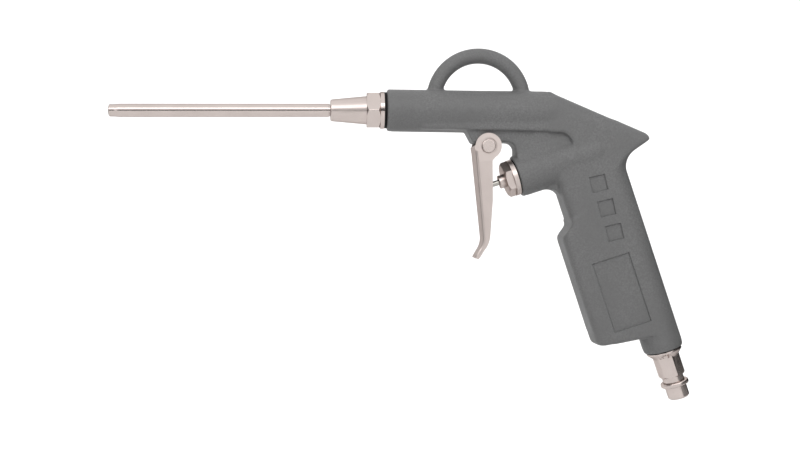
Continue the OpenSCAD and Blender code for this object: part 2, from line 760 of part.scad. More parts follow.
module nozzle_tube() {
    total = tube_reach + tube_seat_len;
    taper_end = tip_len + tip_taper_len;
    color([0.84, 0.80, 0.76]) rotate([0, 90, 0]) rotate_extrude() polygon([
        [outlet_d / 2, 0],
        [tip_d / 2 - tip_chamfer, 0],
        [tip_d / 2, tip_chamfer],
        [tip_d / 2, tip_len],
        [tube_d / 2, taper_end],
        [tube_d / 2, tube_reach - tube_relief_len],
        [tube_seat_r, tube_reach - tube_relief_len],
        [tube_seat_r, total],
        [tube_bore_d / 2, total],
        [tube_bore_d / 2, taper_end],
        [outlet_d / 2, tip_len]]);
}

module nozzle_adapter() {
    hex_at = cone_len;
    collar_at = hex_at + adapter_hex_len;
    total = collar_at + collar_t + nozzle_ring_t + spigot_len;
    seat_r = tube_seat_r + seated_fit;
    color([0.84, 0.80, 0.76]) translate([tube_reach, 0, 0]) rotate([0, 90, 0]) difference() {
        union() {
            rotate_extrude() polygon([
                [0, 0],
                each corner([0, 0], [cone_front_d / 2, 0], [cone_rear_d / 2, cone_len], cone_edge_r),
                [cone_rear_d / 2, cone_len],
                [0, cone_len]]);
            translate([0, 0, hex_at]) rotate([0, 0, adapter_hex_turn + 180 / hex_sides])
                hex_bar(adapter_hex_af, adapter_hex_len, true, true);
            translate([0, 0, collar_at]) {
                cylinder(d = collar_d, h = collar_t);
                cylinder(d = spigot_d, h = total - collar_at);
            }
        }
        translate([0, 0, -overrun]) {
            cylinder(r = seat_r, h = tube_seat_len + overrun);
            cylinder(d = tube_bore_d, h = total + 2 * overrun);
        }
        cylinder(r1 = seat_r + countersink, r2 = seat_r, h = countersink);
    }
}

module nozzle_ring() {
    color([0.08, 0.08, 0.08]) translate([face_x - nozzle_ring_t, 0, 0]) rotate([0, 90, 0])
        ring(nozzle_ring_d, spigot_d + 2 * thread_fit, nozzle_ring_t);
}

// The trigger's side view, in its own frame
function curl_point(depth, share) =
    [-lever_front - curl_r + (curl_r + depth) * cos(curl_sweep * share),
     -curl_down - (curl_r + depth) * sin(curl_sweep * share)];
function tip_point(depth, reach) = curl_point(depth, 1) - reach * [sin(curl_sweep), cos(curl_sweep)];
function curl(depth) = [for (i = [0 : 2 * arc_steps]) curl_point(depth, i / (2 * arc_steps))];
function curl_back() = [for (i = [0 : 2 * arc_steps]) let (share = 1 - i / (2 * arc_steps))
    curl_point(side_curl_depth + (side_tip_depth - side_curl_depth) * share, share)];

module lever_side() {
    ear_back = ear_r * ear_root_share * [cos(ear_root_angle), -sin(ear_root_angle)];
    circle(r = ear_r);
    polygon([
        [-lever_front, front_rise],
        [-lever_front, -curl_down],
        each curl(0),
        tip_point(0, curl_tip_len),
        tip_point(side_tip_depth, curl_tip_len),
        each curl_back(),
        [side_mid_depth - lever_front, -side_mid_down],
        [side_top_depth - lever_front, -ear_down],
        ear_back,
        [0, front_rise]]);
}

// What lies behind and above the front plate, as far as the ears reach
module lever_hollow_side() {
    low = tip_point(lever_t, curl_tip_len + overrun);
    polygon([
        [-ear_r - overrun, ear_r + overrun],
        [-ear_r - overrun, front_rise],
        [-lever_inner, front_rise],
        [-lever_inner, -curl_down],
        each curl(lever_t),
        low,
        [ear_r + overrun, low.y],
        [ear_r + overrun, ear_r + overrun]]);
}

// The trigger's front view narrows from the ears to the tip
module lever_front_view(inset, low_r) {
    top_w = lever_top_w / 2 - inset;
    tip_w = lever_tip_w / 2 - inset;
    low_z = tip_point(side_tip_depth, curl_tip_len).y;
    polygon(rounded([
        [-top_w, ear_r + overrun, 0],
        [-top_w, -ear_down, 0],
        [-tip_w, low_z, low_r],
        [tip_w, low_z, low_r],
        [top_w, -ear_down, 0],
        [top_w, ear_r + overrun, 0]]));
}

module lever_prism(inset, low_r) {
    reach = 2 * (curl_down + curl_r);
    rotate([90, 0, 90]) linear_extrude(reach, center = true) lever_front_view(inset, low_r);
}

module trigger_lever() {
    color([0.84, 0.80, 0.76]) at_pivot() difference() {
        intersection() {
            side_slab(lever_top_w) lever_side();
            lever_prism(0, tip_corner_r);
        }
        intersection() {
            side_slab(lever_top_w) lever_hollow_side();
            lever_prism(lever_t, 0);
        }
        rotate([90, 0, 0]) {
            cylinder(r = pin_d / 2 + running_fit, h = lever_top_w + 2 * overrun, center = true);
            for (end = [-1, 1]) translate([0, 0, end * lever_top_w / 2])
                cylinder(d = head_seat_d, h = 2 * head_seat_t, center = true);
        }
    }
}

module trigger_pin() {
    head_under = lever_top_w / 2 - head_seat_t + side_gap / 2;
    color([0.86, 0.83, 0.80]) at_pivot() rotate([90, 0, 0]) {
        cylinder(d = pin_d, h = 2 * head_under, center = true);
        for (turn = [0, 180]) rotate([turn, 0, 0]) translate([0, 0, head_under]) rotate_extrude()
            polygon([
                [0, 0],
                [pin_head_d / 2, 0],
                each corner([pin_head_d / 2, 0], [pin_head_d / 2, pin_head_t], [0, pin_head_t],
                            pin_head_t / 2),
                [0, pin_head_t]]);
    }
}

module valve_cap() {
    skirt_end = cap_thread_len + skirt_len;
    waist_d = skirt_d - 2 * skirt_waist_t;
    flange_at = -cap_ring_t - cap_flange_t;
    color([0.84, 0.80, 0.76]) at_valve() difference() {
        union() {
            translate([0, 0, -gland_front]) rotate([0, 0, cap_hex_turn])
                hex_bar(cap_hex_af, cap_hex_t, true, false);
            translate([0, 0, flange_at]) cylinder(d = cap_flange_d, h = cap_flange_t);
            translate([0, 0, flange_at]) cylinder(d = cap_thread_d, h = cap_thread_len - flange_at);
            cylinder(d = skirt_d, h = skirt_end);
        }
        translate([0, 0, waist_mid - waist_t / 2]) ring(skirt_d + 2 * overrun, waist_d, waist_t);
        translate([0, 0, groove_at]) ring(skirt_d + 2 * overrun, waist_d, groove_t);
        for (i = [0 : cross_hole_count - 1])
            translate([0, 0, waist_mid]) rotate([0, 90, 360 * i / cross_hole_count])
                cylinder(d = cross_hole_d, h = skirt_d);
        translate([0, 0, cap_thread_len]) cylinder(d = skirt_bore_d, h = skirt_len + overrun);
        translate([0, 0, skirt_end - seat_sunk_t])
            cylinder(r = seat_d / 2 + seated_fit, h = seat_sunk_t + overrun);
        translate([0, 0, -gland_front - overrun]) {
            cylinder(r = guide_d / 2 + seated_fit, h = gland_front - gland_floor + overrun);
            cylinder(r = stem_d / 2 + running_fit, h = gland_front + cap_thread_len + 2 * overrun);
        }
    }
}

module valve_cap_ring() {
    color([0.08, 0.08, 0.08]) at_valve() translate([0, 0, -cap_ring_t])
        ring(cap_ring_d, cap_thread_d + 2 * thread_fit, cap_ring_t);
}

module stem_guide() {
    color([0.82, 0.78, 0.72]) at_valve() translate([0, 0, -gland_front - guide_reach])
        ring(guide_d, stem_d + 2 * running_fit, guide_reach + guide_seat_len);
}

module gland_washer() {
    color([0.9, 0.9, 0.86]) at_valve() translate([0, 0, guide_seat_len - gland_front])
        ring(guide_d, stem_d + 2 * running_fit, backing_t);
}

module stem_ring_seal() {
    color([0.08, 0.08, 0.08]) at_valve() translate([0, 0, -gland_floor - gland_room / 2])
        ring_seal(stem_d / 2, guide_d / 2);
}

module skirt_ring_seal() {
    color([0.08, 0.08, 0.08]) at_valve() translate([0, 0, groove_at + groove_t / 2])
        ring_seal(skirt_d / 2 - skirt_waist_t, chamber_d / 2);
}

module valve_seat() {
    color([0.8, 0.68, 0.36]) at_valve() translate([0, 0, seat_face - seat_lip_t - seat_sunk_t])
        ring(seat_d, seat_bore_d, seat_sunk_t + seat_lip_t);
}

module valve_stem() {
    color([0.78, 0.76, 0.72]) at_valve() difference() {
        union() {
            translate([0, 0, tip_centre]) sphere(d = stem_d);
            translate([0, 0, tip_centre]) cylinder(d = stem_d, h = stem_end - tip_centre);
            translate([0, 0, seat_face + touch_gap - stem_collar_t])
                cylinder(d = stem_collar_d, h = stem_collar_t);
        }
        translate([0, 0, clip_face]) ring(stem_d + overrun, stem_d - 2 * clip_groove_t, clip_t);
    }
}

module poppet_seal() {
    color([0.08, 0.08, 0.08]) at_valve() translate([0, 0, seat_face + touch_gap])
        ring(seal_d, stem_d + 2 * seated_fit, seal_t);
}

module poppet_washer() {
    color([0.8, 0.68, 0.36]) at_valve() translate([0, 0, washer_face - washer_t]) difference() {
        union() {
            cylinder(d = seal_d, h = washer_t);
            cylinder(d = washer_boss_d, h = washer_t + washer_boss_t);
        }
        translate([0, 0, -overrun])
            cylinder(r = stem_d / 2 + seated_fit, h = washer_t + washer_boss_t + 2 * overrun);
    }
}

// An open clip that snaps into the stem's groove
module stem_clip() {
    color([0.5, 0.5, 0.5]) at_valve() translate([0, 0, clip_face]) difference() {
        ring(clip_d, stem_d - 2 * clip_groove_t + 2 * seated_fit, clip_t);
        translate([clip_d / 2, 0, clip_t / 2])
            cube([clip_d, clip_d * clip_gap_share, clip_t + 2 * overrun], center = true);
    }
}

// The spring's wire is one tube, six sides round, along a helix
module valve_spring() {
    rings = coil_count * coil_rings;
    slope = atan2(spring_rise, 2 * PI * spring_r * coil_count);
    function wire_point(i, j) =
        let (a = 360 * i / coil_rings, b = 360 * j / wire_sides,
             out = spring_r + wire_d / 2 * cos(b),
             side = wire_d / 2 * sin(b))
        [out * cos(a) + side * sin(slope) * sin(a),
         out * sin(a) - side * sin(slope) * cos(a),
         spring_rise * i / rings + side * cos(slope)];
    points = [for (i = [0 : rings]) for (j = [0 : wire_sides - 1]) wire_point(i, j)];
    walls = [for (i = [0 : rings - 1]) for (j = [0 : wire_sides - 1])
        let (a = i * wire_sides + j, b = i * wire_sides + (j + 1) % wire_sides)
        each [[a, a + wire_sides, b], [b, a + wire_sides, b + wire_sides]]];
    caps = [for (j = [1 : wire_sides - 2])
        each [[0, j, j + 1], [rings * wire_sides, rings * wire_sides + j + 1, rings * wire_sides + j]]];
    color([0.6, 0.6, 0.6]) at_valve() translate([0, 0, spring_start + wire_d / 2])
        polyhedron(points, concat(walls, caps));
}

module spring_foot() {
    color([0.8, 0.68, 0.36]) at_valve() translate([0, 0, chamber_depth - spring_foot_t])
        ring(chamber_d - 2 * running_fit, washer_boss_d, spring_foot_t);
}

// The flange's slope is a cone that the hexagon rises out of
module inlet_plug() {
    neck_at = plug_flange_t + plug_slope_t + plug_hex_len;
    lock_at = neck_at + neck_len;
    nose_at = lock_at + lock_t;
    total = plug_reach();
    flange_r = plug_flange_d / 2;
    hex_corner_r = plug_hex_af / 2 / cos(180 / hex_sides);
    nose_r = nose_d / 2;
    lock_r = lock_d / 2;
    lock_edge_r = lock_t * lock_edge_share;
    cone_end = plug_flange_t + plug_slope_t * (flange_r - nose_r) / (flange_r - hex_corner_r);
    color([0.84, 0.80, 0.76]) at_inlet() difference() {
        union() {
            rotate_extrude() polygon([
                [0, -plug_thread_len],
                [plug_thread_d / 2, -plug_thread_len],
                [plug_thread_d / 2, 0],
                [flange_r, 0],
                [flange_r, plug_flange_t],
                [nose_r, cone_end],
                [nose_r, lock_at],
                each corner([nose_r, lock_at], [lock_r, lock_at], [lock_r, nose_at], lock_edge_r),
                each corner([lock_r, lock_at], [lock_r, nose_at], [nose_r, nose_at], lock_edge_r),
                [nose_r, nose_at],
                [nose_r, total - nose_chamfer],
                [nose_r - nose_chamfer, total],
                [0, total]]);
            translate([0, 0, plug_flange_t]) rotate([0, 0, plug_hex_turn])
                hex_bar(plug_hex_af, neck_at - plug_flange_t, false, true);
        }
        translate([0, 0, -plug_thread_len - overrun])
            cylinder(d = plug_bore_d, h = total + plug_thread_len + 2 * overrun);
    }
}

// The ring seal lies in the socket's countersink, between its cone, the thread and the flange.
// room_r is the radius of the circle that touches all three.
module inlet_ring_seal() {
    room_r = plug_seal_t * (1 - sqrt(1 / 2));
    color([0.08, 0.08, 0.08]) at_inlet() rotate_extrude()
        translate([plug_thread_d / 2 + room_r, -room_r])
            circle(r = room_r * seal_fill_share, $fn = 32);
}

body_casting();
nozzle_tube();
nozzle_adapter();
nozzle_ring();
trigger_lever();
trigger_pin();
valve_cap();
valve_cap_ring();
stem_guide();
gland_washer();
stem_ring_seal();
skirt_ring_seal();
valve_seat();
valve_stem();
poppet_seal();
poppet_washer();
stem_clip();
valve_spring();
spring_foot();
inlet_plug();
inlet_ring_seal();
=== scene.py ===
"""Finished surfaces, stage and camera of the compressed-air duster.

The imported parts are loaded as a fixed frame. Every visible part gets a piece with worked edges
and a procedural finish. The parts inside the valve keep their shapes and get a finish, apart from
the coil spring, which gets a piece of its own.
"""

import math

import bmesh
import bpy
from bpy.props import FloatProperty, IntProperty, PointerProperty
from mathutils import Matrix, Vector


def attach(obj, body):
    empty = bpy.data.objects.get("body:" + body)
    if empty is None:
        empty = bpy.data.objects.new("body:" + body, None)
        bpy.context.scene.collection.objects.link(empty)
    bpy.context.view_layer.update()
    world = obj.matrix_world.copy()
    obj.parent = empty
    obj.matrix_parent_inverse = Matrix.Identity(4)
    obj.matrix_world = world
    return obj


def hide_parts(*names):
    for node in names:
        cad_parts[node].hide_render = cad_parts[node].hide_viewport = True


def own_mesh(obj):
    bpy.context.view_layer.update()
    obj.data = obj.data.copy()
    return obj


bl_info = {
    "name": "Compressed-air duster",
    "version": (1, 0, 0),
    "blender": (4, 5, 0),
    "location": "3D View > Sidebar > Duster",
    "description": "Finished surfaces, stage and camera of a compressed-air duster",
    "category": "Object",
}

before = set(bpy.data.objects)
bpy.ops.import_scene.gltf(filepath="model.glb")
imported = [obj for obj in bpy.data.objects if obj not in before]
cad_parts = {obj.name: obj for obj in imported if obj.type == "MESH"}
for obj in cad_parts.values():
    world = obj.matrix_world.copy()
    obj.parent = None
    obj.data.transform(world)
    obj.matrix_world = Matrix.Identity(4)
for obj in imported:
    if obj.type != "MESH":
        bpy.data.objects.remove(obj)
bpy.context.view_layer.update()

MM = 0.001

# Places and directions of the parts, in metres and degrees
BARREL_FACE_X = 124.9 * MM
HEXAGON_X = 115.4 * MM
ADAPTER_MIDDLE = (0.11, 0, 0)
GRIP_LEAN = 18.1
TRIGGER_LEAN = 5.4
VALVE_MOUTH = Vector((183.2, 0, -29.85)) * MM
TRIGGER_PIN = Vector((169.8, 0, -16.55)) * MM
GRIP_HALF_WIDTH = 8.7 * MM
INLET_DEPTH = 38.9 * MM
GRIP_LENGTH = 94.6 * MM

# Z into the grip along the valve, X down the grip
AT_VALVE = Matrix.Translation(VALVE_MOUTH) @ Matrix.Rotation(math.radians(90 - GRIP_LEAN), 4, "Y")
# Z down the grip and out of the inlet, from the socket's end
AT_INLET = (
    AT_VALVE
    @ Matrix.Translation((GRIP_LENGTH, 0, INLET_DEPTH))
    @ Matrix.Rotation(math.radians(90), 4, "Y")
)
# Z back along the barrel, from its face
AT_BARREL = Matrix.Translation((BARREL_FACE_X, 0, 0)) @ Matrix.Rotation(math.radians(90), 4, "Y")
# Z up the trigger, X from its front plate to its back
AT_TRIGGER = Matrix.Translation(TRIGGER_PIN) @ Matrix.Rotation(math.radians(-TRIGGER_LEAN), 4, "Y")
# Z across the trigger, along its pin
AT_PIN = Matrix.Translation(TRIGGER_PIN) @ Matrix.Rotation(math.radians(90), 4, "X")

# Recesses in each side of the grip, three squares and a bare panel: distance down the grip, depth
# from the valve's mouth, height, width and turn in degrees
MARKS = [
    *(((14.05 + 11.35 * i) * MM, 32.05 * MM, 7.1 * MM, 7.1 * MM, 5) for i in range(3)),
    (63 * MM, 26.8 * MM, 32 * MM, 17.1 * MM, 0),
]
MARK_DEPTH = 0.7 * MM
# How far a recess's walls slope in, and how much wider than the solid's recess its mouth is
MARK_SLOPE = 0.6 * MM
MARK_MARGIN = 0.6 * MM

# Drums that close the bores' mouths while the edges are blended: place, then radius, start and
# end in millimetres
STOPPERS = (
    (AT_BARREL, 6.4, 0.6, 12),
    (AT_VALVE, 7.4, 0.6, 10),
    (AT_INLET, 7.6, -9, -0.6),
    (AT_PIN, 2.4, -5.2, 5.2),
)
# Thickness of the boxes that close the recesses
STOPPER_DEPTH = 2 * MM
# Drums that cut the bores again, in the same order
BORES = (
    (AT_BARREL, 6.05, -1, 10),
    (AT_BARREL, 3.5, 9, 70),
    (AT_VALVE, 7.05, -1, 8.5),
    (AT_VALVE, 6, 8, 43),
    (AT_INLET, 6.65, -10, 1),
    (AT_INLET, 4, -GRIP_LENGTH / MM, -9),
    (AT_PIN, 2.02, -7, 7),
)

# The barrel's lower sides are flat and end in a ledge over the web. Ahead they are narrower, by
# this share, and end higher
FLATS_MIDDLE = (172 * MM, 0, -6.5 * MM)
FLATS_SIZE = (64 * MM, 16.9 * MM, 7.4 * MM)
FLATS_AHEAD_SHARE = 0.84
FLATS_AHEAD_RISE = 1.4 * MM
# The web's sides run straight down into the valve housing, placed from the valve's mouth
WEB_FOOT_MIDDLE = (-6 * MM, 0, 17 * MM)
WEB_FOOT_SIZE = (7.4 * MM, 12.6 * MM, 30 * MM)

# Mouths of the casting that stay as they are
BARREL_FACE_DEPTH = 2 * MM
HOUSING_MOUTH_DEPTH = 1.6 * MM
HOUSING_MOUTH_RADIUS = 10 * MM
SOCKET_END_DEPTH = 2.4 * MM
# The hang loop keeps firm corners at its feet
LOOP_BACK_X = 192 * MM
LOOP_FOOT_Z = 8.4 * MM
LOOP_PASSES = 2
# Where the barrel runs into the tail, and where the grip's foot ends over the inlet socket. The
# foot is smoothed this many times as much as the rest
SHOULDER_X = (192 * MM, 226 * MM)
SHOULDER_Z = (-5 * MM, 7 * MM)
FOOT_DOWN = (76 * MM, 87 * MM)
FOOT_DEPTH = (3 * MM, 17 * MM)
FOOT_SHARE = 4

# Triangles join at corners this close, and into flat faces below this angle in degrees
MERGE_DISTANCE = 0.002 * MM
FLAT_ANGLE = 0.4
DRUM_SIDES = 64

# Least angles between faces, in degrees, at broken edges and at creases in the shading
SHARP = 28
CREASE = 35
BODY_CREASE = 32
LEVER_CREASE = 14
SPRING_CREASE = 50
EDGE_STEPS = 2
# The long corners of the hexagon on the adapter
HEXAGON_ANGLES = (50, 70)
CORNER_LENGTH = 1.5 * MM
CORNER_WIDTH = 0.28 * MM
# Width of the rounded edges of the rubber rings
RING_EDGE = 0.2 * MM
CAP_RING_EDGE = 0.1 * MM
# Limits of the trigger's folds in its own frame: they begin under the ears, and down to this
# height only edges on the front plate's face count
FOLDS_START_Z = -2 * MM
FOLDS_TOP_Z = -1.9 * MM
FRONT_FACE_X = -5.9 * MM
FRONT_LOW_Z = -20 * MM
FOLD_ANGLE = 50
FOLD_STEPS = 8

# Stage, in metres, with the camera's lens and film in millimetres
OBJECT_MIDDLE = (0.16, 0, -0.05)
FLOOR_MIDDLE = (0.15, 0, -0.3)
FLOOR_HALF_SIZE = (3, 2)
BACKDROP_HEIGHT = 2.4
SWEEP_RADIUS = 0.6
SWEEP_STEPS = 24
CARD_THICKNESS = 2 * MM
CAMERA_PLACE = (0.1003, -0.45, -0.0516)
CAMERA_LENS = 45
CAMERA_FILM = 36
CAMERA_SHIFT = 0.085
CAMERA_NEAR = 0.01


class DusterCasting(bpy.types.PropertyGroup):
    """The cast body and its powder coat."""

    net: FloatProperty(
        name="Net", description="Width of the faces of the cast surface", default=0.52 * MM,
        min=0.3 * MM, max=2 * MM, subtype="DISTANCE", unit="LENGTH", precision=5,
    )
    coat: FloatProperty(
        name="Coat", description="Thickness of the powder coat", default=0.14 * MM, min=0,
        max=0.3 * MM, subtype="DISTANCE", unit="LENGTH", precision=5,
    )
    blend_passes: IntProperty(
        name="Blends", description="Smoothing passes over all edges of the casting", default=6,
        min=0, max=60,
    )
    shoulder_passes: IntProperty(
        name="Shoulder", description="More passes where the barrel runs into the tail",
        default=60, min=0, max=200,
    )
    grain_size: FloatProperty(
        name="Grain", description="Size of the coat's sandy grain", default=0.7 * MM,
        min=0.1 * MM, max=4 * MM, subtype="DISTANCE", unit="LENGTH", precision=5,
    )
    grain_height: FloatProperty(
        name="Grain height", description="Height of the coat's sandy grain", default=0.05 * MM,
        min=0, max=1 * MM, subtype="DISTANCE", unit="LENGTH", precision=5,
    )


class DusterMetal(bpy.types.PropertyGroup):
    """The nickel-plated parts."""

    edge_radius: FloatProperty(
        name="Edges", description="Width of the broken edges of turned and milled parts",
        default=0.14 * MM, min=0.02 * MM, max=0.5 * MM, subtype="DISTANCE", unit="LENGTH",
        precision=5,
    )
    bend_radius: FloatProperty(
        name="Bends", description="Outer radius of the trigger's folds", default=1.2 * MM,
        min=0.2 * MM, max=1.4 * MM, subtype="DISTANCE", unit="LENGTH", precision=5,
    )


class DusterStage(bpy.types.PropertyGroup):
    """The light round the object."""

    sky: FloatProperty(
        name="Surroundings", description="Brightness of the white surroundings", default=1,
        min=0, max=4,
    )
    strip_power: FloatProperty(
        name="Strip light", description="Power of the wide low strip above the camera",
        default=2.4, min=0, max=200, unit="POWER",
    )
    backdrop_power: FloatProperty(
        name="Backdrop light", description="Power of the light on the backdrop", default=10,
        min=0, max=400, unit="POWER",
    )


def colour(code):
    """The linear colour of an sRGB hex code."""
    parts = [int(code[i : i + 2], 16) / 255 for i in (1, 3, 5)]
    return [c / 12.92 if c <= 0.04045 else ((c + 0.055) / 1.055) ** 2.4 for c in parts] + [1]


def add(tree, kind, inputs=(), **settings):
    """Adds a node with its settings. Inputs are values or the sockets that feed them."""
    node = tree.nodes.new(kind)
    for name, value in settings.items():
        setattr(node, name, value)
    for name, value in dict(inputs).items():
        if isinstance(value, bpy.types.NodeSocket):
            tree.links.new(value, node.inputs[name])
        else:
            node.inputs[name].default_value = value
    return node


def new_material(name, shader_inputs):
    """A material with a Principled shader whose inputs the function given fills in."""
    mat = bpy.data.materials.new(name)
    mat.use_nodes = True
    tree = mat.node_tree
    tree.nodes.clear()
    shader = add(tree, "ShaderNodeBsdfPrincipled", shader_inputs(tree))
    add(tree, "ShaderNodeOutputMaterial", {"Surface": shader.outputs[0]})
    return mat


def placed(tree, centre=(0, 0, 0), turn=0, stretch=(1, 1, 1)):
    """Object coordinates about a centre, turned about Y by degrees and stretched."""
    raw = add(tree, "ShaderNodeTexCoord").outputs["Object"]
    moved = add(tree, "ShaderNodeMapping", {"Vector": raw, "Location": [-c for c in centre]})
    turned = add(
        tree, "ShaderNodeMapping",
        {"Vector": moved.outputs[0], "Rotation": (0, math.radians(turn), 0), "Scale": stretch},
    )
    return turned.outputs[0]


def noise(tree, place, size, detail=2, roughness=0.5):
    """Noise whose spots are about this size, in metres."""
    node = add(
        tree, "ShaderNodeTexNoise",
        {"Vector": place, "Scale": 1 / size, "Detail": detail, "Roughness": roughness},
    )
    return node.outputs[0]


def spread(tree, value, span, to):
    """Maps a value from one span to another, and no further."""
    node = add(
        tree, "ShaderNodeMapRange",
        {
            "Value": value, "From Min": span[0], "From Max": span[1],
            "To Min": to[0], "To Max": to[1],
        },
    )
    return node.outputs[0]


def two_tone(tree, pattern, span, first, second, most=1):
    """Goes from one colour towards another as a pattern rises through a span.

    Each colour is a hex code or a socket, and most is the second one's largest share.
    """
    share = spread(tree, pattern, span, (0, most))
    node = add(tree, "ShaderNodeMix", data_type="RGBA")
    sockets = {"Factor_Float": share, "A_Color": first, "B_Color": second}
    for socket in node.inputs:
        value = sockets.get(socket.identifier)
        if isinstance(value, bpy.types.NodeSocket):
            tree.links.new(value, socket)
        elif value is not None:
            socket.default_value = colour(value)
    return next(s for s in node.outputs if s.identifier == "Result_Color")


def bumped(tree, height, depth, under=None):
    """A bump of the depth given, in metres, over another bump."""
    inputs = {"Height": height, "Distance": depth, "Strength": 1}
    if under is not None:
        inputs["Normal"] = under
    return add(tree, "ShaderNodeBump", inputs).outputs[0]


def powder_coat(casting):
    """Grey powder coat on a casting: matt, sandy, and a little uneven."""

    def inputs(tree):
        place = placed(tree)
        # Clouds where the coat is thicker or handled more
        clouds = noise(tree, place, size=17 * MM, detail=3)
        # Sandy grain; real grain is finer than the picture's 0.45 mm, so it is drawn coarser
        grain = noise(tree, place, size=casting.grain_size, detail=3, roughness=0.6)
        # Orange peel that the coat flowed into while it cured
        peel = noise(tree, place, size=2.6 * MM)
        peel_bump = bumped(tree, peel, depth=0.09 * MM)
        greys = two_tone(tree, clouds, (0.35, 0.65), "#6a6a6a", "#757575")
        return {
            "Base Color": two_tone(tree, grain, (0.38, 0.66), "#656565", greys),
            "Roughness": spread(tree, clouds, (0.3, 0.7), (0.5, 0.66)),
            "Normal": bumped(tree, grain, depth=casting.grain_height, under=peel_bump),
        }

    return new_material("grey_powder_coat", inputs)


def nickel_plate(name, centre, turn, gloss, rings=True):
    """Nickel plate over turned or milled brass: warm silver, hazy in places, faint tool lines.

    The tool lines run in rings round the axis that X is turned to, or else along it.
    """

    def inputs(tree):
        place = placed(tree, centre, turn)
        # Haze from handling, which dulls the shine
        haze = noise(tree, place, size=6 * MM, detail=4)
        # Tarnish that warms the silver
        tarnish = noise(tree, place, size=11 * MM)
        # Tool lines, wider apart than real ones so that they show at 0.45 mm a pixel
        along = placed(tree, centre, turn, stretch=(1, 0.01, 0.01) if rings else (0.04, 1, 1))
        lines = noise(tree, along, size=0.35 * MM, roughness=0.7)
        return {
            "Base Color": two_tone(tree, tarnish, (0.3, 0.7), "#d9cdc8", "#d2c6c1"),
            "Metallic": 1,
            # Plating loses its shine where it turns away from the eye
            "Specular Tint": colour("#a8a4a2"),
            "Roughness": spread(tree, haze, (0.3, 0.75), (gloss, gloss + 0.06)),
            "Normal": bumped(tree, lines, depth=0.004 * MM),
        }

    return new_material(name, inputs)


def black_rubber():
    """Black nitrile rubber: matt, with a faint bloom."""

    def inputs(tree):
        place = placed(tree)
        # Bloom, the pale dust that rubber sweats out
        bloom = noise(tree, place, size=1.8 * MM, detail=3)
        # Skin, the fine unevenness that a moulded seal has
        skin = noise(tree, place, size=0.4 * MM)
        return {
            "Base Color": two_tone(tree, bloom, (0.4, 0.75), "#060606", "#0e0e0e"),
            "Roughness": spread(tree, bloom, (0.3, 0.7), (0.5, 0.7)),
            "Specular IOR Level": 0.2,
            "Normal": bumped(tree, skin, depth=0.02 * MM),
        }

    return new_material("black_rubber", inputs)


def bare_metal(name, light, dark, gloss):
    """A bare turned metal of the valve, with tool lines round the valve's axis and stains."""

    def inputs(tree):
        # Stains from moist air
        stains = noise(tree, placed(tree, VALVE_MOUTH, GRIP_LEAN), size=2.5 * MM, detail=4)
        along = placed(tree, VALVE_MOUTH, GRIP_LEAN, stretch=(1, 0.01, 0.01))
        lines = noise(tree, along, size=0.25 * MM, roughness=0.7)
        return {
            "Base Color": two_tone(tree, stains, (0.35, 0.7), light, dark),
            "Metallic": 1,
            "Roughness": spread(tree, stains, (0.3, 0.7), (gloss, gloss + 0.15)),
            "Normal": bumped(tree, lines, depth=0.006 * MM),
        }

    return new_material(name, inputs)


def white_plastic():
    """White low-friction plastic: waxy, with faint grey scuffs."""

    def inputs(tree):
        scuffs = noise(tree, placed(tree), size=1.2 * MM, detail=4)
        return {
            "Base Color": two_tone(tree, scuffs, (0.5, 0.75), "#e9e8e2", "#cfcdc5"),
            "Roughness": spread(tree, scuffs, (0.3, 0.7), (0.35, 0.5)),
            "Normal": bumped(tree, scuffs, depth=0.01 * MM),
        }

    return new_material("white_low_friction_plastic", inputs)


def studio_paper(name, code, roughness=0.9):
    """Matt studio paper with a faint fibre."""

    def inputs(tree):
        fibre = noise(tree, placed(tree), size=2 * MM, detail=3)
        return {
            "Base Color": two_tone(tree, fibre, (0.3, 0.7), code, "#808080", most=0.02),
            "Roughness": roughness,
        }

    return new_material(name, inputs)


def between(value, low, high):
    """Whether a value lies inside a range."""
    return low < value < high


def merged(name):
    """A copy of a part's mesh with its loose triangles joined."""
    bm = bmesh.new()
    bm.from_mesh(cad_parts[name].data)
    bmesh.ops.remove_doubles(bm, verts=bm.verts, dist=MERGE_DISTANCE)
    bmesh.ops.recalc_face_normals(bm, faces=bm.faces)
    return bm


def box(bm, place, size):
    """Adds a box of this size about a place, and gives its corners."""
    made = bmesh.ops.create_cube(bm, size=1, matrix=place @ Matrix.Diagonal((*size, 1)))
    return made["verts"]


def drum(bm, place, radius, start, end):
    """Adds a closed drum along Z of the place, from one distance to another."""
    bmesh.ops.create_cone(
        bm, cap_ends=True, segments=DRUM_SIDES, radius1=radius, radius2=radius,
        depth=end - start, matrix=place @ Matrix.Translation((0, 0, (start + end) / 2)),
    )


def bevel(bm, edges, width, segments, clamp=True):
    """Rounds edges."""
    bmesh.ops.bevel(
        bm, geom=edges, offset=width, offset_type="OFFSET", segments=segments, profile=0.5,
        affect="EDGES", clamp_overlap=clamp, material=-1,
    )


def convex_edges(bm, least, most=360):
    """The convex edges whose faces meet at an angle between these, in degrees."""
    return [
        e for e in bm.edges
        if len(e.link_faces) == 2 and e.is_convex
        and between(math.degrees(e.calc_face_angle()), least, most)
    ]


def worked(name, radius, first=None):
    """A part's mesh with its sharp convex edges broken.

    The function first picks edges for a wider bevel before that, with its width and steps.
    """
    bm = merged(name)
    # Joins the triangles of every flat face
    bmesh.ops.dissolve_limit(
        bm, angle_limit=math.radians(FLAT_ANGLE), verts=bm.verts, edges=bm.edges, delimit=set()
    )
    if first is not None:
        bevel(bm, *first(bm), clamp=False)
    bevel(bm, convex_edges(bm, SHARP), radius, EDGE_STEPS)
    return bm


